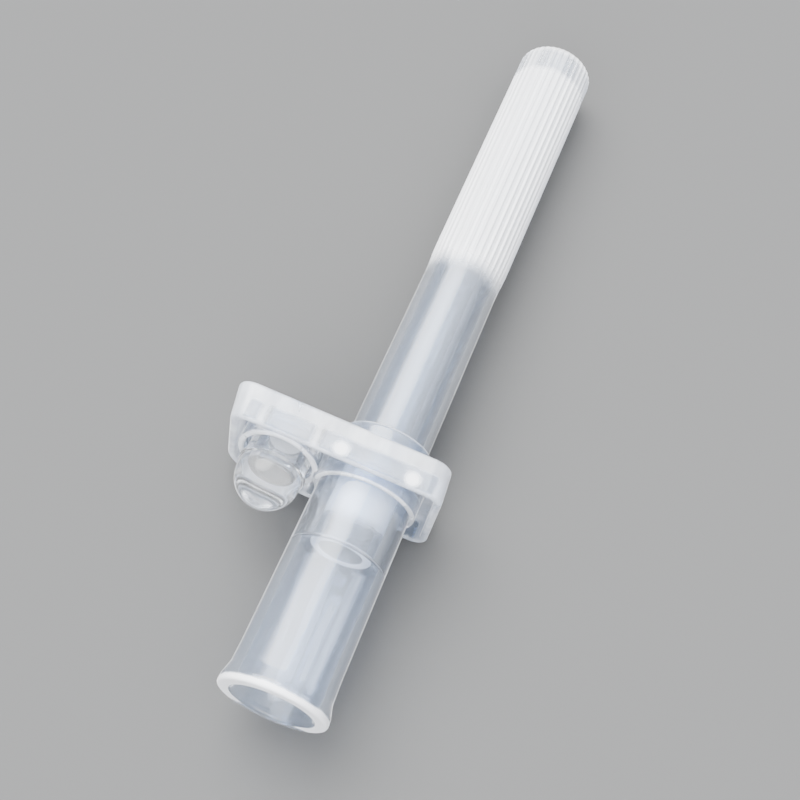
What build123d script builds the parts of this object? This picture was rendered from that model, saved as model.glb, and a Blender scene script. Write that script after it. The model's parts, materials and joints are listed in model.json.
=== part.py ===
from build123d import *
import math
import os

# A clear moulded tip: a flared hose socket, a cored cross plate with a vent boss,
# a hollow tip tube and the closed, ribbed sheath that covers it.
# All sizes are in millimetres. The parts are modelled with the tube's axis along +Y
# and the socket's mouth at zero, and are then laid down as the object rests.

# Stations along the tube's axis, from the socket's mouth
LIP_END = 0.9
FLARE_END = 3.6
SHOULDER = 15.3
NOZZLE = 15.7
COLLAR_START = 21.5
PLATE_NEAR = 22.1
SOCKET_END = 23.4
PASSAGE_AT = 24.3
WEB_START = 24.7
PLATE_FAR = 25.9
SHEATH_START = 26.4
ROOT_END = 27.2
HUB_END = 28.0
TAPER_END = 29.0
RIB_START = 47.6
RIB_FULL = 48.6
TIP_END = 54.0
CAVITY_END = 77.9
SHEATH_END = 78.9

# Hose socket radii
HOSE_BORE_R = 3.95
LIP_R = 5.45
LIP_BACK_R = 5.38
LIP_EDGE = 0.25
SOCKET_MOUTH_R = 4.93
SPIGOT_R = 4.75
CORE_R = 3.10

# Tip tube radii
DUCT_R = 2.25
TIP_R = 2.30
TIP_POINT_R = 2.15
TIP_BORE_R = 1.50
TIP_ROUND = 0.30

# Sheath
SHEATH_R = 4.01
SHEATH_WAIST_R = 3.87
CREST_R = 4.07
CAVITY_R = 3.20
CAVITY_END_R = 3.00
CAVITY_ROUND = 0.8
END_ROUND = 1.8
RIB_COUNT = 36
RIB_R = 0.20

# Cross plate, a shell that opens towards the mouth
PLATE_HALF_HEIGHT = 6.4
PLATE_NEAR_X = (-14.35, 7.05)
PLATE_FAR_X = (-15.0, 6.75)
PLATE_CORNER = 1.8
PLATE_HEEL = 3.2
PLATE_EDGE = 0.35
RIM_WALL = 0.8
COLLAR_R = 5.2
HUB_R = 4.65
HUB_ROUND = 0.5
HUB_FIT = 0.05
RIB_PLACES = (-11.5, -6.1)
RIB_THICK = 0.9
RIB_TOP = 22.9
BRIDGE_HALF = 1.0
BRIDGE_TOP = 23.5
PASSAGE_R = 0.5

# Vent boss and what it holds, measured along the boss's own axis from BOSS_AT.
# The boss leans up, so that its plug passes the hose socket.
BOSS_X = -9.2
BOSS_AT = 23.2
BOSS_LEAN = 9.0
BOSS_R = 4.1
BOSS_FOOT = -2.6
BOSS_RIM = 1.2
RECESS_R = 3.55
RECESS_FLOOR = 0.3
STEM_BORE_R = 3.15
FILTER_FLOOR = -1.2
FILTER_THICK = 0.4
CHAMBER_R = 2.6
CHAMBER_FLOOR = -1.75

# Vent plug
STEM_R = 3.10
STEM_END = -0.6
FLANGE_R = 3.42
FLANGE_START = 2.3
FLANGE_END = 2.75
DOME_R = 3.2
DOME_AT = 3.45
PLUG_CAVITY_R = 1.72
PLUG_CAVITY_END = 2.95
PLUG_CAVITY_ROUND = 0.4


def turned(*points):
    """A solid of revolution about +Y, from its half section as (radius, station) points."""
    return revolve(make_face(Polyline(*points, close=True)), Axis.Y)


def rod(radius, start, end):
    """A plain cylinder about +Y between two stations."""
    return turned((0, start), (radius, start), (radius, end), (0, end))


def on_boss(shape):
    """Moves a shape drawn along +Z, outwards from zero, onto the vent boss's axis."""
    return Location((BOSS_X, BOSS_AT, 0)) * Rotation(90 - BOSS_LEAN, 0, 0) * shape


def boss_rod(radius, start, end):
    """A cylinder on the vent boss's axis between two heights."""
    disc = Pos(0, 0, start) * Circle(radius)
    return on_boss(extrude(disc, end - start))


def hose_socket():
    """Clear tube with a flared, rolled mouth and a hose bore that ends at a sloping shoulder."""
    lip = LIP_R - LIP_EDGE
    flare = RadiusArc((LIP_BACK_R, LIP_END), (SOCKET_MOUTH_R, FLARE_END), 8.0)
    edges = [
        Line((HOSE_BORE_R, 0), (lip, 0)),
        RadiusArc((lip, 0), (LIP_R, LIP_EDGE), -LIP_EDGE),
        Line((LIP_R, LIP_EDGE), (LIP_BACK_R, LIP_END)),
        flare,
        Line((SOCKET_MOUTH_R, FLARE_END), (SPIGOT_R, COLLAR_START)),
        Line((SPIGOT_R, COLLAR_START), (SPIGOT_R, SOCKET_END)),
        Line((SPIGOT_R, SOCKET_END), (CORE_R, SOCKET_END)),
        Line((CORE_R, SOCKET_END), (CORE_R, NOZZLE)),
        Line((CORE_R, NOZZLE), (HOSE_BORE_R, SHOULDER)),
        Line((HOSE_BORE_R, SHOULDER), (HOSE_BORE_R, 0)),
    ]
    return revolve(make_face(edges), Axis.Y)


def tip_tube():
    """Hollow tube from the socket's shoulder, through the plate, to its open round-edged end."""
    body = turned(
        (DUCT_R, NOZZLE),
        (CORE_R, NOZZLE),
        (CORE_R, ROOT_END),
        (TIP_R, TAPER_END),
        (TIP_POINT_R, TIP_END),
        (TIP_BORE_R, TIP_END),
        (TIP_BORE_R, TAPER_END),
        (DUCT_R, ROOT_END),
    )
    rim = body.edges().filter_by(GeomType.CIRCLE).sort_by(Axis.Y)[-2:]
    body = fillet(rim, TIP_ROUND)
    return body - passage()


def passage():
    """The air passage from the vent boss's chamber to the tube's bore, as a drill."""
    drill = Plane((BOSS_X, PASSAGE_AT, 0), z_dir=(1, 0, 0)) * Circle(PASSAGE_R)
    return extrude(drill, -BOSS_X)


def sheath_outline(radius, rounding):
    """Half section of the sheath's outside at one radius, with its rounded closed end."""
    corner = radius - rounding
    edges = [
        Line((0, RIB_START), (SHEATH_WAIST_R, RIB_START)),
        Line((SHEATH_WAIST_R, RIB_START), (radius, RIB_FULL)),
        Line((radius, RIB_FULL), (radius, SHEATH_END - rounding)),
        RadiusArc((radius, SHEATH_END - rounding), (corner, SHEATH_END), -rounding),
        Line((corner, SHEATH_END), (0, SHEATH_END)),
        Line((0, SHEATH_END), (0, RIB_START)),
    ]
    return revolve(make_face(edges), Axis.Y)


def sheath():
    """Closed cap over the tip tube: smooth below, with fine long ribs towards its end."""
    smooth = turned(
        (0, SHEATH_START),
        (SHEATH_R, SHEATH_START),
        (SHEATH_WAIST_R, RIB_START),
        (0, RIB_START),
    )
    drop = CREST_R - SHEATH_WAIST_R
    closed_end = sheath_outline(SHEATH_WAIST_R, END_ROUND - drop)
    wires = Plane((0, RIB_START, 0), z_dir=(0, 1, 0)) * PolarLocations(SHEATH_WAIST_R, RIB_COUNT)
    ribs = extrude(Sketch() + [place * Circle(RIB_R) for place in wires], SHEATH_END - RIB_START)
    ribs = ribs & sheath_outline(CREST_R, END_ROUND)
    cavity = turned(
        (0, SHEATH_START),
        (CAVITY_R, SHEATH_START),
        (CAVITY_END_R, CAVITY_END),
        (0, CAVITY_END),
    )
    cavity = fillet(cavity.edges().filter_by(GeomType.CIRCLE).sort_by(Axis.Y)[-1], CAVITY_ROUND)
    return smooth + closed_end + ribs - cavity


def plate_block():
    """The plate's drafted outside: flat faces, round corners, one fuller bottom corner, soft rims."""
    plan = Polyline(
        (PLATE_NEAR_X[0], PLATE_NEAR),
        (PLATE_NEAR_X[1], PLATE_NEAR),
        (PLATE_FAR_X[1], PLATE_FAR),
        (PLATE_FAR_X[0], PLATE_FAR),
        close=True,
    )
    block = extrude(make_face(plan), PLATE_HALF_HEIGHT, both=True)
    middle = (PLATE_NEAR + PLATE_FAR) / 2
    heel = ((PLATE_NEAR_X[0] + PLATE_FAR_X[0]) / 2, middle, -PLATE_HALF_HEIGHT)
    corners = block.edges().filter_by(lambda e: abs(e.center().Y - middle) < 0.01)
    block = fillet(corners.sort_by_distance(heel)[1:], PLATE_CORNER)
    block = fillet(block.edges().sort_by_distance(heel)[0], PLATE_HEEL)
    rims = block.edges().filter_by(lambda e: (PLATE_FAR - PLATE_NEAR) / 2 - abs(e.center().Y - middle) < 0.01)
    return fillet(rims, PLATE_EDGE)


def plate_pocket():
    """The hollow on the mouth side, down to the plate's web, with the block's corners less its wall."""
    low, high = PLATE_NEAR_X[0] + RIM_WALL, PLATE_NEAR_X[1] - RIM_WALL
    half = PLATE_HALF_HEIGHT - RIM_WALL
    middle = (WEB_START + PLATE_NEAR - 1) / 2
    pocket = Pos((low + high) / 2, middle, 0) * Box(high - low, 2 * (WEB_START - middle), 2 * half)
    corners = pocket.edges().filter_by(Axis.Y).sort_by_distance((low, middle, -half))
    pocket = fillet(corners[1:], PLATE_CORNER - RIM_WALL)
    heel = pocket.edges().filter_by(Axis.Y).sort_by_distance((low, middle, -half))[0]
    return fillet(heel, PLATE_HEEL - RIM_WALL)


def plate_ribs():
    """Two cross ribs beside the boss and the bridge that carries the air passage."""
    height = 2 * (PLATE_HALF_HEIGHT - RIM_WALL / 2)
    depth = WEB_START - RIB_TOP + 0.1
    ribs = [
        Pos(x, RIB_TOP + depth / 2, 0) * Box(RIB_THICK, depth, height)
        for x in RIB_PLACES
    ]
    span = abs(BOSS_X) - CORE_R
    rise = WEB_START - BRIDGE_TOP + 0.1
    bridge = Box(span, rise, 2 * BRIDGE_HALF)
    return ribs + [Pos(-CORE_R - span / 2, BRIDGE_TOP + rise / 2, 0) * bridge]


def hub():
    """Round hub on the tip side, which the sheath plugs into."""
    block = rod(HUB_R, PLATE_FAR - 0.1, HUB_END)
    top = block.edges().filter_by(GeomType.CIRCLE).sort_by(Axis.Y)[-1]
    return fillet(top, HUB_ROUND)


def boss_body():
    """The vent boss's outer body, which ends inside the plate's web."""
    limit = Pos(BOSS_X, WEB_START + 0.1 - BOSS_R, 0) * Box(4 * BOSS_R, 2 * BOSS_R, 4 * BOSS_R)
    return boss_rod(BOSS_R, BOSS_FOOT, BOSS_RIM) & limit


def cross_plate():
    """Milky moulded plate: cored shell, socket collar, sheath hub and leaning vent boss."""
    plate = plate_block() - plate_pocket() + rod(COLLAR_R, COLLAR_START, WEB_START + 0.1)
    for piece in [boss_body(), hub()] + plate_ribs():
        plate = plate + piece
    plate = plate - rod(SPIGOT_R, COLLAR_START - 1, SOCKET_END)
    plate = plate - rod(CORE_R, SOCKET_END - 0.1, HUB_END)
    plate = plate - rod(SHEATH_R + HUB_FIT, SHEATH_START - HUB_FIT, HUB_END + 1)
    plate = plate - boss_rod(RECESS_R, RECESS_FLOOR, BOSS_RIM + 1)
    plate = plate - boss_rod(STEM_BORE_R, FILTER_FLOOR, RECESS_FLOOR + 0.1)
    plate = plate - boss_rod(CHAMBER_R, CHAMBER_FLOOR, FILTER_FLOOR + 0.1)
    return plate - passage()


def vent_filter():
    """Thin porous disc on the ledge inside the vent boss."""
    return boss_rod(STEM_BORE_R, FILTER_FLOOR, FILTER_FLOOR + FILTER_THICK)


def vent_plug():
    """Clear hollow plug with a stem, a thin flange and a domed head."""
    flange = boss_rod(FLANGE_R, FLANGE_START, FLANGE_END)
    flange = fillet(flange.edges().filter_by(GeomType.CIRCLE), 0.15)
    plug = boss_rod(STEM_R, STEM_END, FLANGE_START + 0.1) + flange
    plug = plug + boss_rod(DOME_R, FLANGE_END - 0.2, DOME_AT)
    half_ball = Sphere(DOME_R) & Pos(0, 0, DOME_R / 2) * Box(3 * DOME_R, 3 * DOME_R, DOME_R)
    plug = plug + on_boss(Pos(0, 0, DOME_AT) * half_ball)
    cavity = extrude(Pos(0, 0, STEM_END - 0.1) * Circle(PLUG_CAVITY_R), PLUG_CAVITY_END - STEM_END + 0.1)
    inner = cavity.edges().filter_by(GeomType.CIRCLE).sort_by(Axis.Z)[-1]
    return plug - on_boss(fillet(inner, PLUG_CAVITY_ROUND))


def resting_pitch():
    """Angle at which the plate's lower edge and the sheath's end both touch the ground."""
    run = (SHEATH_END - END_ROUND) - (PLATE_FAR - PLATE_EDGE)
    rise = (PLATE_HALF_HEIGHT - PLATE_EDGE) - (CREST_R - END_ROUND)
    lift = math.asin((END_ROUND - PLATE_EDGE) / math.hypot(run, rise))
    return math.degrees(math.atan2(rise, run) - lift)


def resting_place(shapes):
    """The move that pitches the shapes to rest, centred over the origin with their lowest point at zero."""
    pitch = Rotation(-resting_pitch(), 0, 0)
    boxes = [(pitch * shape).bounding_box() for shape in shapes]
    low = [min(values) for values in zip(*(tuple(box.min) for box in boxes))]
    high = [max(values) for values in zip(*(tuple(box.max) for box in boxes))]
    return Pos(-(low[0] + high[0]) / 2, -(low[1] + high[1]) / 2, -low[2]) * pitch


def main():
    """Builds every sub-part and writes one STEP file for each."""
    shapes = {
        "hose_socket": hose_socket(),
        "cross_plate": cross_plate(),
        "tip_tube": tip_tube(),
        "vent_filter": vent_filter(),
        "vent_plug": vent_plug(),
        "sheath": sheath(),
    }
    place = resting_place(shapes.values())
    os.makedirs("parts", exist_ok=True)
    for name, shape in shapes.items():
        export_step(place * shape, f"parts/{name}.step")
        print(name, len(shape.solids()), round(shape.volume, 2))


if __name__ == "__main__":
    main()
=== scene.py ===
import json
import math
import bpy
import numpy as np
import openvdb
from mathutils import Matrix, Vector


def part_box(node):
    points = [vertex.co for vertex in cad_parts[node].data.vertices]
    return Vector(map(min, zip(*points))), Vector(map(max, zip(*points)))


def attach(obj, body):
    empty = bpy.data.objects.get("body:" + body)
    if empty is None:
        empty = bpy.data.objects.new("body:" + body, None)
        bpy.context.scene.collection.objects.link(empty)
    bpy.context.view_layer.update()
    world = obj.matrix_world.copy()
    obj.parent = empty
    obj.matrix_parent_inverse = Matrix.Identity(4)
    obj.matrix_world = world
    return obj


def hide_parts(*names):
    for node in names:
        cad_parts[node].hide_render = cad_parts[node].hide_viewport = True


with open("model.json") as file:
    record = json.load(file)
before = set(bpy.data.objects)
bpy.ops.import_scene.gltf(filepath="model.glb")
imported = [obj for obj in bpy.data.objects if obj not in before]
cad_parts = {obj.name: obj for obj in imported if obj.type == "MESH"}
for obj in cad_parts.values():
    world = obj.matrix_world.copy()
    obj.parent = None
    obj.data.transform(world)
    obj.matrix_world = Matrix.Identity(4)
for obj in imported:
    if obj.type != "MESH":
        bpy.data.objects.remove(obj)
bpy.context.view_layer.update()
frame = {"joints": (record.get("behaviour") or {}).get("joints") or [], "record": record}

# A clear moulded tip. Sizes are in millimetres in the tube's own frame: +Y runs along the tube from
# the socket's mouth at zero, X runs along the plate, and Z is up from its flat side.
MM = 0.001
FIT = 0.02  # air left between two pieces that are pushed or bonded together

# Stations along the tube
LIP_END = 0.9
FLARE_END = 3.6
SHOULDER = 15.3
NOZZLE = 15.7
COLLAR_START = 21.5
PLATE_NEAR = 22.1
SOCKET_END = 23.4
WEB_START = 24.7
HUB_START = 24.9
COLLAR_END = 25.4
PLATE_FAR = 25.9
SHEATH_START = 26.4
ROOT_END = 27.2
HUB_END = 28.0
TAPER_END = 29.0
RIB_START = 47.6
RIB_FULL = 51.0
TIP_END = 54.0
CAVITY_END = 77.9
SHEATH_END = 78.9

# Radii of the socket, the tip tube and the sheath
HOSE_BORE_R = 3.95
LIP_R = 5.45
SOCKET_MOUTH_R = 4.93
SPIGOT_R = 4.75
CORE_R = 3.10
DUCT_R = 2.25
TIP_R = 2.30
TIP_POINT_R = 2.15
TIP_BORE_R = 1.50
SHEATH_R = 4.01
SHEATH_WAIST_R = 3.87
CAVITY_R = 3.20
CAVITY_END_R = 3.00
END_ROUND = 1.6

# The sheath's long ribs
RIB_COUNT = 36
RIB_HEIGHT = 0.15
RIB_SHARE = 0.58  # of the pitch
RIB_SHARPNESS = 1.2  # above 1 for narrow crests, below 1 for broad ones

# Cross plate
PLATE_HALF_HEIGHT = 6.4
PLATE_NEAR_X = (-14.35, 7.05)
PLATE_FAR_X = (-15.0, 6.75)
PLATE_CORNER = 1.8
PLATE_HEEL = 3.2
PLATE_EDGE = 0.4
RIM_WALL = 0.8
COLLAR_R = 5.2
COLLAR_ROUND = 0.2
HUB_R = 4.65
HUB_ROUND = 0.5
CROSS_RIB_PLACES = (-11.5, -6.1)
CROSS_RIB_THICK = 0.9
CROSS_RIB_TOP = 22.9
CROSS_RIB_ROUND = 0.2
BRIDGE_HALF = 1.0
BRIDGE_TOP = 23.5
WEB_BITE = 0.3  # how far the ribs and the boss reach into the web
SEAT_GAP = 0.05  # air round the sheath where it sits in the hub
BLEND = 0.45  # moulded radius where two features of the plate meet
BORE_SOFT = 0.12  # softened edge of the holes on the tube's axis
VENT_SOFT = 0.2  # softened edge of the holes in the boss

# Vent boss and what it holds, measured outwards along the boss's axis
BOSS_R = 4.1
BOSS_RIM = 1.2
BOSS_ROUND = 0.2
RECESS_R = 3.55
RECESS_FLOOR = 0.3
RECESS_ROUND = 0.15
STEM_BORE_R = 3.15
STEM_BORE_ROUND = 0.1
FILTER_FLOOR = -1.2
FILTER_TOP = -0.8
CHAMBER_R = 2.6
CHAMBER_FLOOR = -1.75
BOSS_ROOT = 2 * CHAMBER_FLOOR  # inside the plate
ABOVE_BOSS = 3 * BOSS_RIM  # where the recess's cut ends, clear of the rim
STEM_R = 3.10
STEM_END = -0.6
FLANGE_R = 3.42
FLANGE_START = 2.3
FLANGE_END = 2.75
DOME_R = 3.2
DOME_AT = 3.45
PLUG_CAVITY_R = 1.72
PLUG_CAVITY_END = 2.95

# How finely the round pieces and the plate are meshed
SOCKET_COLUMNS = 200
TIP_COLUMNS = 160
RIB_COLUMNS = 14  # to each rib
PLUG_COLUMNS = 192
FILTER_COLUMNS = 96
GRID = 0.125  # spacing of the grid that the plate is meshed on
FAR = 9.0  # a distance from the plate that is well outside it

# Haze in the plastic, from 0 for clear to 1 for matt. A span is the stretch where it is full, and the
# distance over which it falls to 0 past each end is its fade. Other pairs are where a change starts
# and where it is complete.
LIP_HAZE_FRONT = (LIP_END, 0.3)
LIP_PAINTED_SHADE = 0.9  # share of the lip's haze that is missing low down, painted shade under the lip
LIP_PAINTED_SHADE_BELOW = (-2.6, -4.4)
BORE_HAZE = 0.45
BORE_HAZE_ALONG = (0.5, 2.5)
BORE_HAZE_BELOW = (-0.5, -3.0)
ROOT_HAZE = 0.85
ROOT_HAZE_SPAN = (19.6, 22.4)
ROOT_HAZE_FADE = 3.0
SHEATH_HAZE_ALONG = (RIB_START - 2.2, RIB_START + 3.4)
SHEATH_DIP = 0.5  # haze taken away over the end of the cavity
SHEATH_DIP_SPAN = (CAVITY_END - 2.6, CAVITY_END - 0.8)
SHEATH_DIP_FADE = 1.2
SKIN_HAZE = 0.5
WINDOW_CLEAR = 0.9  # share of the skin's haze that is missing in the windows
WINDOW_SPAN = (PLATE_NEAR + 0.5, WEB_START - 0.8)
# Painted highlights: matt white rings on the rims of the boss, the collar and the hub
BOSS_RIM_HIGHLIGHT = 0.7
COLLAR_RIM_HIGHLIGHT = 0.6
HUB_RIM_HIGHLIGHT = 0.45
# Painted highlights: round milky spots beside the tube on the plate's upper side and underside
HIGHLIGHT_SPOT_HAZE = 0.95
HIGHLIGHT_SPOT_PLACES = (-3.6, 3.6)
HIGHLIGHT_SPOT_AT = 23.0
HIGHLIGHT_SPOT_R = 1.4

# Materials. Noise scales are in waves per millimetre.
MILK = (0.97, 0.975, 1.0)  # tint of the plastic where it is full of haze
SHEEN_ROUGHNESS = 0.22
CLOUD_SCALE = 0.22
STREAK_SCALE = 0.5
SKIN_SCALE = 0.55
POLISH_SCALE = 1.1
FIBRE_SCALE = 6
RELIEF = 0.05  # height of the skin's relief
FELT = (0.48, 0.50, 0.53), (0.66, 0.67, 0.69)
FELT_ROUGHNESS = (0.95, 0.75)
FELT_GRAIN = 0.6

# Studio. Directions point to the lights in the row frame.
FLOOR_HALF = 20  # metres
FLOOR_SHADE = 0.088
FLOOR_ROUGHNESS = 0.9
FLOOR_GLOSS = 0.1
UP = (0, 0, 1)
BACK_LEFT = (-170, 150, 320)
FRONT = (-20, -300, 190)

# Camera, in the tube's frame
CAMERA_EYE = (6.33, -32.25, 135.72)
CAMERA_TARGET = (-0.75, 32.69, 0.69)
CAMERA_ROLL = 16.68
CAMERA_LENS = 68.6
CAMERA_CLIP = 0.005  # metres


# ---------------------------------------------------------------- places

def mount(name):
    """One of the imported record's mounts."""
    return next(m for m in frame["record"]["mounts"] if m["name"] == name)


def joint_axis(name):
    """The direction of one of the CAD's joints."""
    return Vector(next(j for j in frame["joints"] if j["name"] == name)["axis"]).normalized()


def placing(origin, along):
    """Matrix from millimetres in a part's own frame, with +Y along it, to metres in the row frame."""
    across = Vector((1, 0, 0))
    turn = Matrix((across, along, across.cross(along))).transposed().to_4x4()
    return Matrix.Translation(origin) @ turn @ Matrix.Scale(MM, 4)


def tube_place():
    """The tube's frame, with its zero at the middle of the socket's mouth."""
    bore = mount("hose_bore")
    mouth = Vector(bore["pos_m"]) + Vector(bore["axis"]) * bore["dims"]["length_mm"] / 2 * MM
    return placing(mouth, joint_axis("sheath_pull"))


def vent_place():
    """The vent boss's frame, from the filter that lies on its ledge."""
    low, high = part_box("vent_filter")
    along = joint_axis("plug_pull")
    return placing((low + high) / 2 - along * (FILTER_FLOOR + FILTER_TOP) / 2 * MM, along)


TUBE = tube_place()
VENT = vent_place()
VENT_IN_TUBE = TUBE.inverted() @ VENT


# ---------------------------------------------------------------- outlines

def arc(centre, spoke, turn, steps):
    """Points on an arc that starts at centre + spoke and goes through turn radians."""
    points = []
    for step in range(steps + 1):
        swing = Matrix.Rotation(turn * step / steps, 2)
        points.append(centre + swing @ spoke)
    return points


def rounded(corners, is_closed, steps=7):
    """An outline from (radius, station, rounding) corners, with arcs at the rounded ones."""
    outline = []
    for i, (radius, station, rounding) in enumerate(corners):
        here = Vector((radius, station))
        is_end = not is_closed and i in (0, len(corners) - 1)
        if rounding == 0 or is_end:
            outline.append(here)
            continue
        before = (Vector(corners[i - 1][:2]) - here).normalized()
        after = (Vector(corners[(i + 1) % len(corners)][:2]) - here).normalized()
        half = before.angle(after) / 2
        centre = here + (before + after).normalized() * rounding / math.sin(half)
        spoke = here + before * rounding / math.tan(half) - centre
        side = math.copysign(1, before.cross(after))
        outline += arc(centre, spoke, -side * (math.pi - 2 * half), steps)
    return outline


def supported(outline, is_closed, margin=0.04, reach=1.6):
    """The outline with extra points for even shading: one a margin from each end of a long run, and
    others along it, about a reach apart."""
    points = []
    last = len(outline) if is_closed else len(outline) - 1
    for i in range(last):
        start, end = outline[i], outline[(i + 1) % len(outline)]
        run = (end - start).length
        points.append(start)
        if run > 4 * margin:
            inner = [margin / run, 1 - margin / run]
            pieces = max(1, round(run / reach))
            inner += [k / pieces for k in range(1, pieces)]
            points += [start.lerp(end, share) for share in sorted(inner)]
    if not is_closed:
        points.append(outline[-1])
    return points


# ---------------------------------------------------------------- meshes

def add_piece(name, points, faces, place, material, body, node, haze=None):
    """A smooth mesh in the row frame that rides on a body and stands for a CAD node. Haze gives how
    matt the plastic is, from 0 to 1, from arrays of places in the part's own frame."""
    mesh = bpy.data.meshes.new(name)
    mesh.from_pydata(points, [], faces)
    mesh.shade_smooth()
    mesh.materials.append(material)
    if haze:
        matt = mesh.attributes.new("haze", "FLOAT", "POINT")
        matt.data.foreach_set("value", haze(*np.array(points).T).astype(np.float32))
    mesh.transform(place)
    piece = bpy.data.objects.new(name, mesh)
    bpy.context.scene.collection.objects.link(piece)
    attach(piece, body)
    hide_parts(node)
    return piece


def ramp(value, start, end):
    """0 up to start, 1 from end on, and smooth between them. End may be the lower one."""
    share = np.clip((value - start) / (end - start), 0, 1)
    return share * share * (3 - 2 * share)


def near(value, low, high, soft):
    """1 between low and high, and falls to 0 over a soft distance outside them."""
    return ramp(value, low - soft, low) * ramp(value, high + soft, high)


def normals_of(outline, is_closed):
    """Outward direction at each point of an outline that runs with its inside on the left."""
    if is_closed:
        along = np.roll(outline, -1, axis=0) - np.roll(outline, 1, axis=0)
    else:
        along = np.gradient(outline, axis=0)
    along /= np.linalg.norm(along, axis=1)[:, None]
    return np.stack([along[:, 1], -along[:, 0]], axis=1)


def rib_crest(angle):
    """Height of the long ribs round the sheath, from 0 between them to 1 on their crests."""
    share = (angle * RIB_COUNT / math.tau + 0.5) % 1 - 0.5
    return np.cos(np.clip(share / RIB_SHARE, -0.5, 0.5) * math.pi) ** RIB_SHARPNESS


def quads(lower, upper):
    """Faces between matching rows of point numbers, round each row."""
    lower_next, upper_next = np.roll(lower, -1, axis=1), np.roll(upper, -1, axis=1)
    return np.stack([lower, lower_next, upper_next, upper], axis=-1).reshape(-1, 4).tolist()


def turned_rings(outline, is_closed, columns, relief):
    """Points of an outline turned about +Y, as an array of one ring for each point of the outline.
    Relief, if any, is a height at each of its points, which rib_crest scales round the turn."""
    angles = np.arange(columns) * math.tau / columns
    rings = np.repeat(outline[:, None, :], columns, axis=1)
    if relief is not None:
        rise = np.array(relief)[:, None] * rib_crest(angles)[None, :]
        rings = rings + rise[:, :, None] * normals_of(outline, is_closed)[:, None, :]
    radius, station = rings[..., 0], rings[..., 1]
    return np.stack([radius * np.cos(angles), station, -radius * np.sin(angles)], axis=2)


def spun(outline, is_closed, columns, relief=None):
    """Points and faces of an outline turned about +Y. One that isn't closed starts and ends on the
    axis, and is closed there with a fan of triangles."""
    outline = np.array([tuple(p) for p in outline])
    points = turned_rings(outline, is_closed, columns, relief)
    count = len(outline)
    index = np.arange(count * columns).reshape(count, columns)
    if is_closed:
        return points.reshape(-1, 3).tolist(), quads(index, np.roll(index, -1, axis=0))
    poles = [points[0, 0].tolist(), points[-1, 0].tolist()]
    inner = index[1:-1] - columns
    first, last = (count - 2) * columns, (count - 2) * columns + 1
    faces = quads(inner[:-1], inner[1:])
    turned = np.roll(inner, -1, axis=1)
    faces += [(first, b, a) for a, b in zip(inner[0].tolist(), turned[0].tolist())]
    faces += [(last, a, b) for a, b in zip(inner[-1].tolist(), turned[-1].tolist())]
    return points[1:-1].reshape(-1, 3).tolist() + poles, faces


# ---------------------------------------------------------------- plate as a distance field

def meet(side, cap, rounding):
    """Where two fields both hold, with a rounded edge between them."""
    outside = np.hypot(np.maximum(side + rounding, 0), np.maximum(cap + rounding, 0))
    return np.minimum(np.maximum(side, cap) + rounding, 0) + outside - rounding


def join(a, b, radius):
    """Both fields together, with a filleted corner between them."""
    closeness = np.maximum(radius - np.abs(a - b), 0) / radius
    return np.minimum(a, b) - closeness * closeness * radius / 4


def carve(a, b, radius):
    """The first field less the second, with a softened edge."""
    return -join(-a, b, radius)


def drum(distance, along, radius, start, end, rounding):
    """A round bar: distance from its axis, and place along it."""
    return meet(distance - radius, np.abs(along - (start + end) / 2) - (end - start) / 2, rounding)


def slab(x, z, low, high, half, corner, heel):
    """A rectangle seen along the tube, with round corners and one fuller bottom corner."""
    across = x - (low + high) / 2
    rounding = np.where((across < 0) & (z < 0), heel, corner)
    u = np.abs(across) - (high - low) / 2 + rounding
    v = np.abs(z) - half + rounding
    return np.minimum(np.maximum(u, v), 0) + np.hypot(np.maximum(u, 0), np.maximum(v, 0)) - rounding


def shell_field(x, y, z):
    """The plate's tapered block, cored out from the socket's side down to its web."""
    drift = (y - PLATE_NEAR) / (PLATE_FAR - PLATE_NEAR)
    low = PLATE_NEAR_X[0] + (PLATE_FAR_X[0] - PLATE_NEAR_X[0]) * drift
    high = PLATE_NEAR_X[1] + (PLATE_FAR_X[1] - PLATE_NEAR_X[1]) * drift
    depth = np.abs(y - (PLATE_NEAR + PLATE_FAR) / 2) - (PLATE_FAR - PLATE_NEAR) / 2
    block = slab(x, z, low, high, PLATE_HALF_HEIGHT, PLATE_CORNER, PLATE_HEEL)
    pocket = slab(
        x, z, PLATE_NEAR_X[0] + RIM_WALL, PLATE_NEAR_X[1] - RIM_WALL,
        PLATE_HALF_HEIGHT - RIM_WALL, PLATE_CORNER - RIM_WALL, PLATE_HEEL - RIM_WALL,
    )
    return carve(meet(block, depth, PLATE_EDGE), meet(pocket, y - WEB_START, BLEND), PLATE_EDGE)


def plate_field(x, y, z):
    """Distance to the plate's surface in millimetres, negative inside."""
    field = join(shell_field(x, y, z), plate_ribs_field(x, y, z), BLEND)
    distance = np.hypot(x, z)
    collar = drum(distance, y, COLLAR_R, COLLAR_START, COLLAR_END, COLLAR_ROUND)
    hub = drum(distance, y, HUB_R, HUB_START, HUB_END, HUB_ROUND)
    field = join(join(field, collar, BLEND), hub, BLEND)
    field = carve_vent(field, x, y, z)
    spigot = drum(distance, y, SPIGOT_R + FIT, 0, SOCKET_END + FIT, 0)
    field = carve(field, spigot, BORE_SOFT)
    field = carve(field, distance - CORE_R - FIT, BORE_SOFT)
    seat = drum(distance, y, SHEATH_R + SEAT_GAP, SHEATH_START - SEAT_GAP, SHEATH_END, SEAT_GAP)
    return carve(field, seat, BORE_SOFT)


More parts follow.
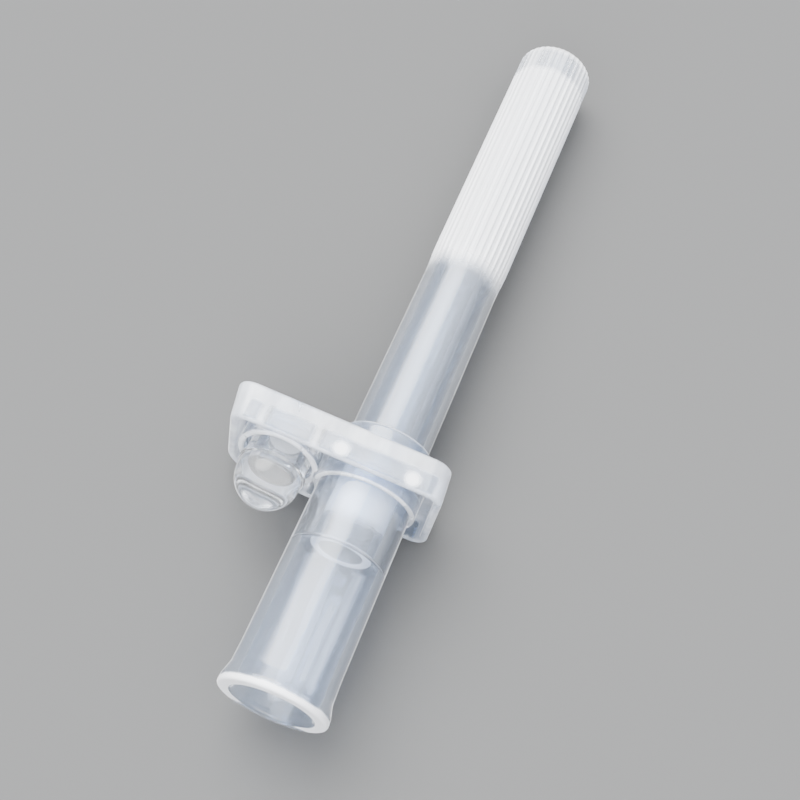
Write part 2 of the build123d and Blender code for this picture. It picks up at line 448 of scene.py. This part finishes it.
def plate_ribs_field(x, y, z):
    """The two cross ribs beside the boss and the bridge that carries the air passage."""
    field = np.full_like(x, FAR)
    for place in CROSS_RIB_PLACES:
        rib = meet(np.abs(x - place) - CROSS_RIB_THICK / 2, CROSS_RIB_TOP - y, CROSS_RIB_ROUND)
        rib = np.maximum(rib, np.abs(z) - PLATE_HALF_HEIGHT + RIM_WALL / 2)
        field = np.minimum(field, np.maximum(rib, y - WEB_START - WEB_BITE))
    bridge = meet(np.abs(z) - BRIDGE_HALF, BRIDGE_TOP - y, CROSS_RIB_ROUND)
    bridge = np.maximum(bridge, np.maximum(VENT_IN_TUBE.translation.x - x, x + CORE_R))
    return np.minimum(field, np.maximum(bridge, y - WEB_START - WEB_BITE))


def vent_places(x, y, z):
    """Distance from the boss's axis and place along it."""
    back = VENT_IN_TUBE.inverted()
    u, v, w = (back[i][0] * x + back[i][1] * y + back[i][2] * z + back[i][3] for i in range(3))
    return np.hypot(u, w), v


def carve_vent(field, x, y, z):
    """Adds the leaning boss and cuts its recess, stem bore and chamber."""
    distance, v = vent_places(x, y, z)
    boss = drum(distance, v, BOSS_R, BOSS_ROOT, BOSS_RIM, BOSS_ROUND)
    recess = drum(distance, v, RECESS_R, RECESS_FLOOR, ABOVE_BOSS, RECESS_ROUND)
    stem_bore = drum(distance, v, STEM_BORE_R, FILTER_FLOOR, BOSS_RIM, STEM_BORE_ROUND)
    chamber = drum(distance, v, CHAMBER_R, CHAMBER_FLOOR, STEM_END, RECESS_ROUND)
    field = join(field, np.maximum(boss, y - WEB_START - WEB_BITE), BLEND)
    for hole in (recess, stem_bore, chamber):
        field = carve(field, hole, VENT_SOFT)
    return field


def settled(points, field, rounds=4, step=0.01, least=0.05):
    """Moves points onto the field's zero, and gives the field's slope there. The slope is taken a step
    to each side, and least keeps a move short where the slope nearly vanishes."""
    for _ in range(rounds):
        value = field(*points.T)
        slope = np.stack([
            (field(*(points + step * axis).T) - field(*(points - step * axis).T)) / (2 * step)
            for axis in np.eye(3)
        ], axis=1)
        size = np.maximum((slope ** 2).sum(axis=1), least)
        points = points - np.clip(value / size, -GRID, GRID)[:, None] * slope
    return points, slope


def meshed(field, low, high):
    """Points and outward faces of a field's surface inside a box, and the slope at the points."""
    counts = [int((b - a) / GRID) + 2 for a, b in zip(low, high)]
    axes = [a + GRID * np.arange(n) for a, n in zip(low, counts)]
    values = field(*np.meshgrid(*axes, indexing="ij")).astype(np.float32)
    grid = openvdb.FloatGrid(background=FAR)
    grid.copyFromArray(values)
    grid.transform = openvdb.createLinearTransform(voxelSize=GRID)
    points, faces = grid.convertToQuads()
    points, slope = settled(points.astype(float) + np.array(low), field)
    first, second, fourth = (points[faces[:, i]] for i in (0, 1, 3))
    facing = (np.cross(second - first, fourth - first) * slope[faces[:, 0]]).sum(axis=1)
    if np.median(facing) < 0:
        faces = faces[:, ::-1]
    return points.tolist(), faces.tolist(), slope


# ---------------------------------------------------------------- materials

def add_node(tree, kind, inputs=None, **settings):
    """Adds a shader node, with its settings and its unlinked inputs."""
    made = tree.nodes.new(kind)
    for key, value in settings.items():
        setattr(made, key, value)
    for key, value in (inputs or {}).items():
        made.inputs[key].default_value = value
    return made


def feed(tree, value, socket):
    """Links a node's output to a socket, or sets the socket to a plain value."""
    if isinstance(value, bpy.types.NodeSocket):
        tree.links.new(value, socket)
    else:
        socket.default_value = value


def new_material(name):
    """A procedural material, with its node tree and its shader."""
    made = bpy.data.materials.new(name)
    made.use_nodes = True
    return made, made.node_tree, made.node_tree.nodes["Principled BSDF"]


def scaled_noise(tree, stretch, scale, detail):
    """Noise on the part's own coordinates, stretched along the tube."""
    places = add_node(tree, "ShaderNodeTexCoord")
    mapping = add_node(tree, "ShaderNodeMapping", {"Scale": (1 / MM, 1 / MM / stretch, 1 / MM)})
    noise = add_node(tree, "ShaderNodeTexNoise", {"Scale": scale, "Detail": detail})
    tree.links.new(places.outputs["Object"], mapping.inputs["Vector"])
    tree.links.new(mapping.outputs["Vector"], noise.inputs["Vector"])
    return noise.outputs["Fac"]


def ranged(tree, value, low, high):
    """Maps the middle of a noise's range to low and high."""
    limits = {"From Min": 0.3, "From Max": 0.7, "To Min": low, "To Max": high}
    made = add_node(tree, "ShaderNodeMapRange", limits)
    tree.links.new(value, made.inputs["Value"])
    return made.outputs["Result"]


def haze_mask(tree, uneven, flow):
    """The mesh's haze, from 0 to 1, with borders that wander by a streaky noise."""
    haze = add_node(tree, "ShaderNodeAttribute", attribute_name="haze")
    streaks = ranged(tree, scaled_noise(tree, 2 * flow, STREAK_SCALE, 3), -uneven, uneven)
    total = add_node(tree, "ShaderNodeMath", operation="ADD")
    tree.links.new(haze.outputs["Fac"], total.inputs[0])
    tree.links.new(streaks, total.inputs[1])
    limits = {"From Min": uneven, "From Max": 1 - uneven}
    mask = add_node(tree, "ShaderNodeMapRange", limits, interpolation_type="SMOOTHSTEP")
    tree.links.new(total.outputs["Value"], mask.inputs["Value"])
    return mask.outputs["Result"]


def mixed(tree, factor, first, second, kind="FLOAT"):
    """A number, or with the kind RGBA a colour, that goes from first to second with a factor. Each of
    the two may be a plain value or a node's output."""
    mix = add_node(tree, "ShaderNodeMix", data_type=kind)
    tree.links.new(factor, mix.inputs["Factor"])
    feed(tree, first, mix.inputs["A"])
    feed(tree, second, mix.inputs["B"])
    return mix.outputs["Result"]


def add_relief(tree, shader, height, strength):
    """Raises the shader's surface by a noise."""
    relief = add_node(tree, "ShaderNodeBump", {"Strength": strength, "Distance": RELIEF * MM})
    tree.links.new(height, relief.inputs["Height"])
    tree.links.new(relief.outputs["Normal"], shader.inputs["Normal"])


def plastic(name, tint, clarity, rough, matt, flow=6.0, grain=0.1, uneven=0.1, bend=1.49):
    """Moulded clear plastic: a cloudy tint, roughness that varies, a faint flow relief, and a sheen
    that brightens its edges. Clarity is the share of light that passes through, and rough is its lowest
    and highest roughness. Matt is the clarity and roughness where the mesh's haze is full, and the
    plastic is milky there. Flow stretches the noises along the tube, grain is the relief's strength,
    uneven is how far the haze's borders wander, and bend is the refractive index."""
    made, tree, shader = new_material(name)
    shader.inputs["IOR"].default_value = bend
    shader.inputs["Sheen Weight"].default_value = 1.0
    shader.inputs["Sheen Roughness"].default_value = SHEEN_ROUGHNESS
    mask = haze_mask(tree, uneven, flow)
    cloud = ranged(tree, scaled_noise(tree, flow, CLOUD_SCALE, 4), 0, 1)
    clear_tint = mixed(tree, cloud, (*tint[0], 1), (*tint[1], 1), "RGBA")
    polish = ranged(tree, scaled_noise(tree, flow / 2, POLISH_SCALE, 5), *rough)
    tree.links.new(mixed(tree, mask, clear_tint, (*MILK, 1), "RGBA"), shader.inputs["Base Color"])
    tree.links.new(mixed(tree, mask, polish, matt[1]), shader.inputs["Roughness"])
    tree.links.new(mixed(tree, mask, clarity, matt[0]), shader.inputs["Transmission Weight"])
    add_relief(tree, shader, scaled_noise(tree, flow, SKIN_SCALE, 3), grain)
    return made


def membrane(name):
    """The vent filter's pale grey felt."""
    made, tree, shader = new_material(name)
    fibre = scaled_noise(tree, 1, FIBRE_SCALE, 6)
    tint = mixed(tree, ranged(tree, fibre, 0, 1), (*FELT[0], 1), (*FELT[1], 1), "RGBA")
    tree.links.new(tint, shader.inputs["Base Color"])
    tree.links.new(ranged(tree, fibre, *FELT_ROUGHNESS), shader.inputs["Roughness"])
    add_relief(tree, shader, fibre, FELT_GRAIN)
    return made


# ---------------------------------------------------------------- pieces

def socket_haze(x, y, z):
    """Matt on the lip's face and the front of its edge, except underneath where its haze is taken away
    as painted shade so the upper side stays whiter, and a little along the floor of the bore."""
    radius = np.hypot(x, z)
    lip = ramp(y, *LIP_HAZE_FRONT) * ramp(radius, HOSE_BORE_R + 0.15, HOSE_BORE_R + 0.4)
    # Painted shade: the lip's haze fades out underneath, so its upper side stays whiter
    lip *= 1 - LIP_PAINTED_SHADE * ramp(z, *LIP_PAINTED_SHADE_BELOW)
    bore = ramp(radius, HOSE_BORE_R + 0.1, HOSE_BORE_R) * ramp(y, *BORE_HAZE_ALONG)
    bore *= BORE_HAZE * ramp(z, *BORE_HAZE_BELOW)
    return np.maximum(lip, bore)


def hose_socket(material):
    """Flared tube with a rolled lip and a hose bore that ends at a sloping shoulder."""
    corners = [
        (HOSE_BORE_R, 0, 0.35),
        (LIP_R, 0, 0.3),
        (LIP_R - 0.05, LIP_END, 0.5),
        (SOCKET_MOUTH_R + 0.1, (LIP_END + FLARE_END) / 2, 1.8),
        (SOCKET_MOUTH_R, FLARE_END + 1, 2.0),
        (SPIGOT_R, COLLAR_START, 0.3),
        (SPIGOT_R, SOCKET_END, 0.1),
        (CORE_R, SOCKET_END, 0.1),
        (CORE_R, NOZZLE, 0.06),
        (HOSE_BORE_R, SHOULDER, 0.2),
    ]
    outline = supported(rounded(corners, True), True, reach=0.8)
    points, faces = spun(outline, True, SOCKET_COLUMNS)
    add_piece(
        "hose_socket_clear", points, faces, TUBE, material,
        "fitting", "hose_socket", socket_haze,
    )


def tip_haze(x, y, z):
    """Matt on the ring that faces the mouth, and milky outside where the collar holds it."""
    ring = ramp(y, NOZZLE + 0.15, NOZZLE + 0.05)
    outside = ramp(np.hypot(x, z), DUCT_R + 0.3, CORE_R - 0.1)
    return np.maximum(ring, ROOT_HAZE * outside * near(y, *ROOT_HAZE_SPAN, ROOT_HAZE_FADE))


def tip_tube(material):
    """Hollow tube from the socket's shoulder to its open round-edged end inside the sheath."""
    outer = CORE_R - FIT
    corners = [
        (DUCT_R, NOZZLE, 0.12),
        (outer, NOZZLE, 0.12),
        (outer, ROOT_END, 0.4),
        (TIP_R, TAPER_END, 0.8),
        (TIP_POINT_R, TIP_END, 0.3),
        (TIP_BORE_R, TIP_END, 0.15),
        (TIP_BORE_R, TAPER_END, 0.8),
        (DUCT_R, ROOT_END, 0.4),
    ]
    outline = supported(rounded(corners, True), True, reach=0.8)
    points, faces = spun(outline, True, TIP_COLUMNS)
    add_piece(
        "tip_tube_clear", points, faces, TUBE, material,
        "fitting", "tip_tube", tip_haze,
    )


def sheath_haze(x, y, z):
    """Matt on the outside of the ribbed part, and less so over the end of the cavity."""
    beside = ramp(np.hypot(x, z), CAVITY_R + 0.1, CAVITY_R + 0.3)
    beyond = ramp(y, CAVITY_END + 0.1, CAVITY_END + 0.3)
    dip = SHEATH_DIP * near(y, *SHEATH_DIP_SPAN, SHEATH_DIP_FADE)
    return np.maximum(beside, beyond) * (ramp(y, *SHEATH_HAZE_ALONG) - dip)


def rib_rise(point):
    """How high the ribs stand at a point of the sheath's outline: none inside it, below RIB_START or
    on the flat of its end."""
    radius, station = point
    is_inside = radius < CAVITY_R + 0.1 and station < CAVITY_END + 0.1
    if station < RIB_START or is_inside:
        return 0.0
    run_out = ramp(station, SHEATH_END, SHEATH_END - END_ROUND)
    return RIB_HEIGHT * ramp(station, RIB_START, RIB_FULL) * run_out


def sheath(material):
    """Closed cap over the tip tube, smooth below and finely ribbed to its rounded end."""
    corners = [
        (0, SHEATH_END, 0),
        (SHEATH_WAIST_R, SHEATH_END, END_ROUND),
        (SHEATH_WAIST_R, RIB_START, 3.0),
        (SHEATH_R, SHEATH_START, 0.12),
        (CAVITY_R, SHEATH_START, 0.12),
        (CAVITY_END_R, CAVITY_END, 0.8),
        (0, CAVITY_END, 0),
    ]
    outline = supported(rounded(corners, False, 10), False, reach=1.0)[::-1]
    relief = [rib_rise(p) for p in outline]
    points, faces = spun(outline, False, RIB_COUNT * RIB_COLUMNS, relief)
    add_piece(
        "sheath_ribbed", points, faces, TUBE, material,
        "sheath", "sheath", sheath_haze,
    )


def vent_plug(material):
    """Glass-clear hollow plug with a stem, a thin flange and a domed head."""
    corners = [
        (0, DOME_AT + DOME_R, 0),
        (DOME_R, DOME_AT + DOME_R, DOME_R - 0.01),
        (DOME_R, FLANGE_END, 0.12),
        (FLANGE_R, FLANGE_END, 0.15),
        (FLANGE_R, FLANGE_START, 0.15),
        (STEM_R, FLANGE_START, 0.12),
        (STEM_R, STEM_END, 0.15),
        (PLUG_CAVITY_R, STEM_END, 0.15),
        (PLUG_CAVITY_R, PLUG_CAVITY_END, 0.4),
        (0, PLUG_CAVITY_END, 0),
    ]
    outline = supported(rounded(corners, False, 40), False)[::-1]
    points, faces = spun(outline, False, PLUG_COLUMNS)
    add_piece("vent_plug_dome", points, faces, VENT, material, "vent_plug", "vent_plug")


def vent_filter(material):
    """Thin felt disc with softened edges."""
    edge = STEM_BORE_R - FIT
    middle = (FILTER_FLOOR + FILTER_TOP) / 2
    corners = [
        (0, FILTER_TOP, 0),
        (edge - 0.4, FILTER_TOP, 0.4),
        (edge, FILTER_TOP - 0.06, 0.05),
        (edge, middle - 0.1, 0.05),
        (edge - 0.1, FILTER_FLOOR + FIT, 0.05),
        (0, FILTER_FLOOR + FIT, 0),
    ]
    outline = supported(rounded(corners, False), False, reach=0.4)[::-1]
    points, faces = spun(outline, False, FILTER_COLUMNS)
    add_piece(
        "vent_filter_felt", points, faces, VENT, material,
        "fitting", "vent_filter",
    )


def plate_skin_haze(x, y, z):
    """1 where the plate's skin has thick plastic behind it, nearly 0 in windows between the ribs, and
    0 on the boss and the collar."""
    windows = near(x, PLATE_NEAR_X[0] + 2 * RIM_WALL, PLATE_NEAR_X[1] - 2 * RIM_WALL, 0.6)
    windows *= near(y, *WINDOW_SPAN, 0.5)
    for place in CROSS_RIB_PLACES:
        windows *= 1 - near(x, place, place, CROSS_RIB_THICK)
    skin = (1 - WINDOW_CLEAR * windows) * near(y, PLATE_NEAR, PLATE_FAR, 0.4)
    skin *= ramp(vent_places(x, y, z)[0], BOSS_R - 0.2, BOSS_R + 0.3)
    return skin * ramp(np.hypot(x, z), COLLAR_R - 0.2, COLLAR_R + 0.2)


def highlight_spot_haze(x, y, z):
    """1 on two round spots of painted highlight, on the plate's upper side and underside."""
    highlight_spots = np.zeros_like(x)
    for place in HIGHLIGHT_SPOT_PLACES:
        highlight_spots = np.maximum(highlight_spots, near(np.hypot(x - place, y - HIGHLIGHT_SPOT_AT), 0, 0.1, HIGHLIGHT_SPOT_R))
    return highlight_spots * ramp(np.abs(z), PLATE_HALF_HEIGHT - 1, PLATE_HALF_HEIGHT - PLATE_EDGE)


def plate_haze(x, y, z):
    """Milky skin, whiter round spots of painted highlight, and matt rims on the boss, the collar and
    the hub that are painted edge highlights.
    """
    distance, v = vent_places(x, y, z)
    # Painted highlights: matt rings along the rims of the boss, the collar and the hub
    boss = near(v, BOSS_RIM - 0.2, BOSS_RIM, 0.2) * near(distance, RECESS_R, BOSS_R, 0.1)
    collar = near(y, COLLAR_START, COLLAR_START + 0.15, 0.25)
    hub = near(y, HUB_END - 0.25, HUB_END, 0.15)
    return np.maximum.reduce([
        SKIN_HAZE * plate_skin_haze(x, y, z),
        # painted highlights as round milky spots
        HIGHLIGHT_SPOT_HAZE * highlight_spot_haze(x, y, z),
        BOSS_RIM_HIGHLIGHT * boss,
        COLLAR_RIM_HIGHLIGHT * collar,
        HUB_RIM_HIGHLIGHT * hub,
    ])


def cross_plate(material):
    """Moulded shell plate with ribs, a socket collar, a sheath hub and the leaning vent boss. It is
    meshed inside a box with some room round it."""
    low = (PLATE_FAR_X[0] - 0.4, COLLAR_START - 1.0, -PLATE_HALF_HEIGHT - 0.4)
    high = (PLATE_NEAR_X[1] + 0.4, HUB_END + 0.4, PLATE_HALF_HEIGHT + 0.4)
    points, faces, slope = meshed(plate_field, low, high)
    piece = add_piece(
        "cross_plate_shell", points, faces, TUBE, material,
        "fitting", "cross_plate", plate_haze,
    )
    turn = np.array(TUBE.to_3x3().normalized())
    normals = slope @ turn.T
    normals /= np.linalg.norm(normals, axis=1)[:, None]
    piece.data.normals_split_custom_set_from_vertices(normals.tolist())


def build_object():
    """All the pieces of the tip. A tint is two colours that the plastic's clouds go between."""
    cool = (0.905, 0.94, 1.0), (0.71, 0.82, 1.0)
    white = (0.98, 0.99, 1.0), (0.95, 0.97, 1.0)
    hose_socket(plastic(
        "clear_socket", cool, clarity=0.97, rough=(0.03, 0.08), matt=(0.30, 0.35), uneven=0.2,
    ))
    tip_tube(plastic(
        "clear_tip", white, clarity=0.93, rough=(0.08, 0.16), matt=(0.05, 0.45),
    ))
    sheath(plastic(
        "hazy_sheath", cool, clarity=0.96, rough=(0.05, 0.11), matt=(0.45, 0.28),
        flow=12.0, grain=0.06, uneven=0.14,
    ))
    cross_plate(plastic(
        "milky_plate", cool, clarity=0.94, rough=(0.05, 0.12), matt=(0.35, 0.35), flow=1.5,
    ))
    vent_plug(plastic(
        "clear_plug", white, clarity=0.965, rough=(0.06, 0.10), matt=(0.9, 0.1),
        flow=1.5, grain=0.04, bend=1.36,
    ))
    vent_filter(membrane("filter_membrane"))


# ---------------------------------------------------------------- studio

def add_floor():
    """A plain pale floor, under the object."""
    paint, _, shader = new_material("floor_paper")
    shader.inputs["Base Color"].default_value = (FLOOR_SHADE, FLOOR_SHADE, FLOOR_SHADE, 1)
    shader.inputs["Roughness"].default_value = FLOOR_ROUGHNESS
    shader.inputs["Specular IOR Level"].default_value = FLOOR_GLOSS
    mesh = bpy.data.meshes.new("floor")
    signs = ((-1, -1), (1, -1), (1, 1), (-1, 1))
    corners = [(FLOOR_HALF * x, FLOOR_HALF * y, 0) for x, y in signs]
    mesh.from_pydata(corners, [], [(0, 1, 2, 3)])
    mesh.materials.append(paint)
    floor = bpy.data.objects.new("floor", mesh)
    bpy.context.scene.collection.objects.link(floor)


def add_glow(tree, total, direction, edge, core, colour, strength):
    """Adds light from round a direction to a sum of colours. It is full within the angle core, in
    degrees, and falls off softly to none at the angle edge."""
    places = add_node(tree, "ShaderNodeTexCoord")
    aim = add_node(tree, "ShaderNodeVectorMath", operation="DOT_PRODUCT")
    aim.inputs[1].default_value = Vector(direction).normalized()
    tree.links.new(places.outputs["Generated"], aim.inputs[0])
    outer, inner = (math.cos(math.radians(angle)) for angle in (edge, core))
    limits = {"From Min": outer, "From Max": inner, "To Max": strength}
    fade = add_node(tree, "ShaderNodeMapRange", limits, interpolation_type="SMOOTHSTEP")
    tree.links.new(aim.outputs["Value"], fade.inputs["Value"])
    tinted = add_node(tree, "ShaderNodeVectorMath", {0: colour}, operation="SCALE")
    tree.links.new(fade.outputs["Result"], tinted.inputs["Scale"])
    both = add_node(tree, "ShaderNodeVectorMath", operation="ADD")
    tree.links.new(tinted.outputs["Vector"], both.inputs[0])
    feed(tree, total, both.inputs[1])
    return both.outputs["Vector"]


def add_studio():
    """Dim cool light from all round, a broad glow overhead, a strong small one high behind on the
    left, and a weaker one in front."""
    world = bpy.data.worlds.new("studio")
    world.use_nodes = True
    tree = world.node_tree
    dark, white = (0.0, 0.0, 0.0), (1.0, 1.0, 1.0)
    light = add_glow(tree, dark, UP, edge=180, core=179, colour=(0.55, 0.70, 1.0), strength=0.42)
    light = add_glow(tree, light, UP, edge=88, core=35, colour=white, strength=3.2)
    light = add_glow(tree, light, BACK_LEFT, edge=34, core=5, colour=(1.0, 1.0, 0.98), strength=22.0)
    light = add_glow(tree, light, FRONT, edge=44, core=12, colour=white, strength=5.5)
    tree.links.new(light, tree.nodes["Background"].inputs["Color"])
    bpy.context.scene.world = world


def add_camera():
    """The camera, placed in the tube's frame."""
    eye, target = TUBE @ Vector(CAMERA_EYE), TUBE @ Vector(CAMERA_TARGET)
    lens = bpy.data.cameras.new("camera")
    lens.lens = CAMERA_LENS
    lens.clip_start = CAMERA_CLIP
    camera = bpy.data.objects.new("camera", lens)
    turn = (target - eye).to_track_quat("-Z", "Y").to_matrix().to_4x4()
    roll = Matrix.Rotation(math.radians(CAMERA_ROLL), 4, "Z")
    camera.matrix_world = Matrix.Translation(eye) @ turn @ roll
    bpy.context.scene.collection.objects.link(camera)
    bpy.context.scene.camera = camera


build_object()
add_floor()
add_studio()
add_camera()
